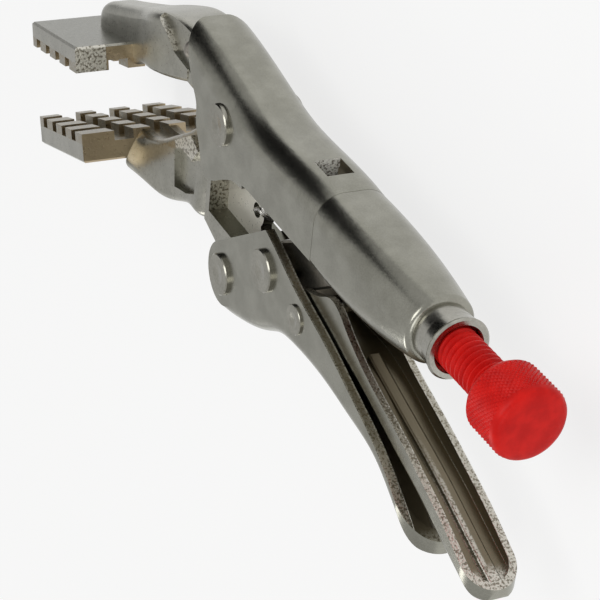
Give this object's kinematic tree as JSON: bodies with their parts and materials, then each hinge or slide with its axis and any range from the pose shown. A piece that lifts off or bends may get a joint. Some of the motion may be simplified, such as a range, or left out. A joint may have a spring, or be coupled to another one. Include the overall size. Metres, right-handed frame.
{
  "type": "locking canvas pliers",
  "caption": "Locking pliers with wide toothed jaws, pressed steel handles, a toggle link, a release lever and a red adjusting screw, locked with the jaws wide open.",
  "frame": {"origin": "middle of the footprint, at the lowest point of the tool lying on its side", "axes": "+X back along the adjusting screw, +Y from the lower handle to the back of the upper handle, +Z across the tool"},
  "size_m": [0.212, 0.0596, 0.0392],
  "materials": {
    "nickel_steel": "satin nickel plate",
    "cast_jaw": "satin nickel plate over a forged surface",
    "rivet_steel": "bright",
    "weld": "rough weld bead",
    "red_screw": "semi-gloss red",
    "spring_wire": "drawn wire"
  },
  "bodies": {
    "body": {"upper_handle": "nickel_steel", "fixed_jaw": "cast_jaw", "jaw_weld": "weld", "screw_bush": "nickel_steel", "jaw_rivet": "rivet_steel", "return_spring": "spring_wire"},
    "moving_jaw": {"lower_jaw": "cast_jaw"},
    "grip": {"lower_handle": "nickel_steel", "handle_rivet": "rivet_steel", "link_rivet": "rivet_steel", "lever_rivet": "rivet_steel"},
    "strut": {"toggle_link": "nickel_steel"},
    "lever": {"release_lever": "nickel_steel"},
    "screw": {"adjusting_screw": "red_screw"}
  },
  "joints": [
    {"name": "jaw_hinge", "type": "hinge", "parent": "body", "child": "moving_jaw", "pos_m": [-0.00856, 0.01577, 0.0196], "axis": [0, 0, 1], "range_deg": [0, 12], "deforming": ["return_spring"]},
    {"name": "handle_hinge", "type": "hinge", "parent": "moving_jaw", "child": "grip", "pos_m": [-0.00306, -0.01743, 0.0196], "axis": [0, 0, 1], "range_deg": [-43.8, 0]},
    {"name": "link_hinge", "type": "hinge", "parent": "grip", "child": "strut", "pos_m": [0.01694, -0.00543, 0.0196], "axis": [0, 0, 1], "range_deg": [0, 57.81]},
    {"name": "lever_hinge", "type": "hinge", "parent": "grip", "child": "lever", "pos_m": [0.03254, -0.00813, 0.0196], "axis": [0, 0, 1], "range_deg": [-2.5, 0]},
    {"name": "screw_slide", "type": "slide", "parent": "body", "child": "screw", "axis": [1, 0, 0], "range_m": [0, 0.01]}
  ],
  "couplings": [
    {"joint": "handle_hinge", "follows": "jaw_hinge", "ratio": -3.65},
    {"joint": "link_hinge", "follows": "jaw_hinge", "ratio": 4.8167}
  ]
}
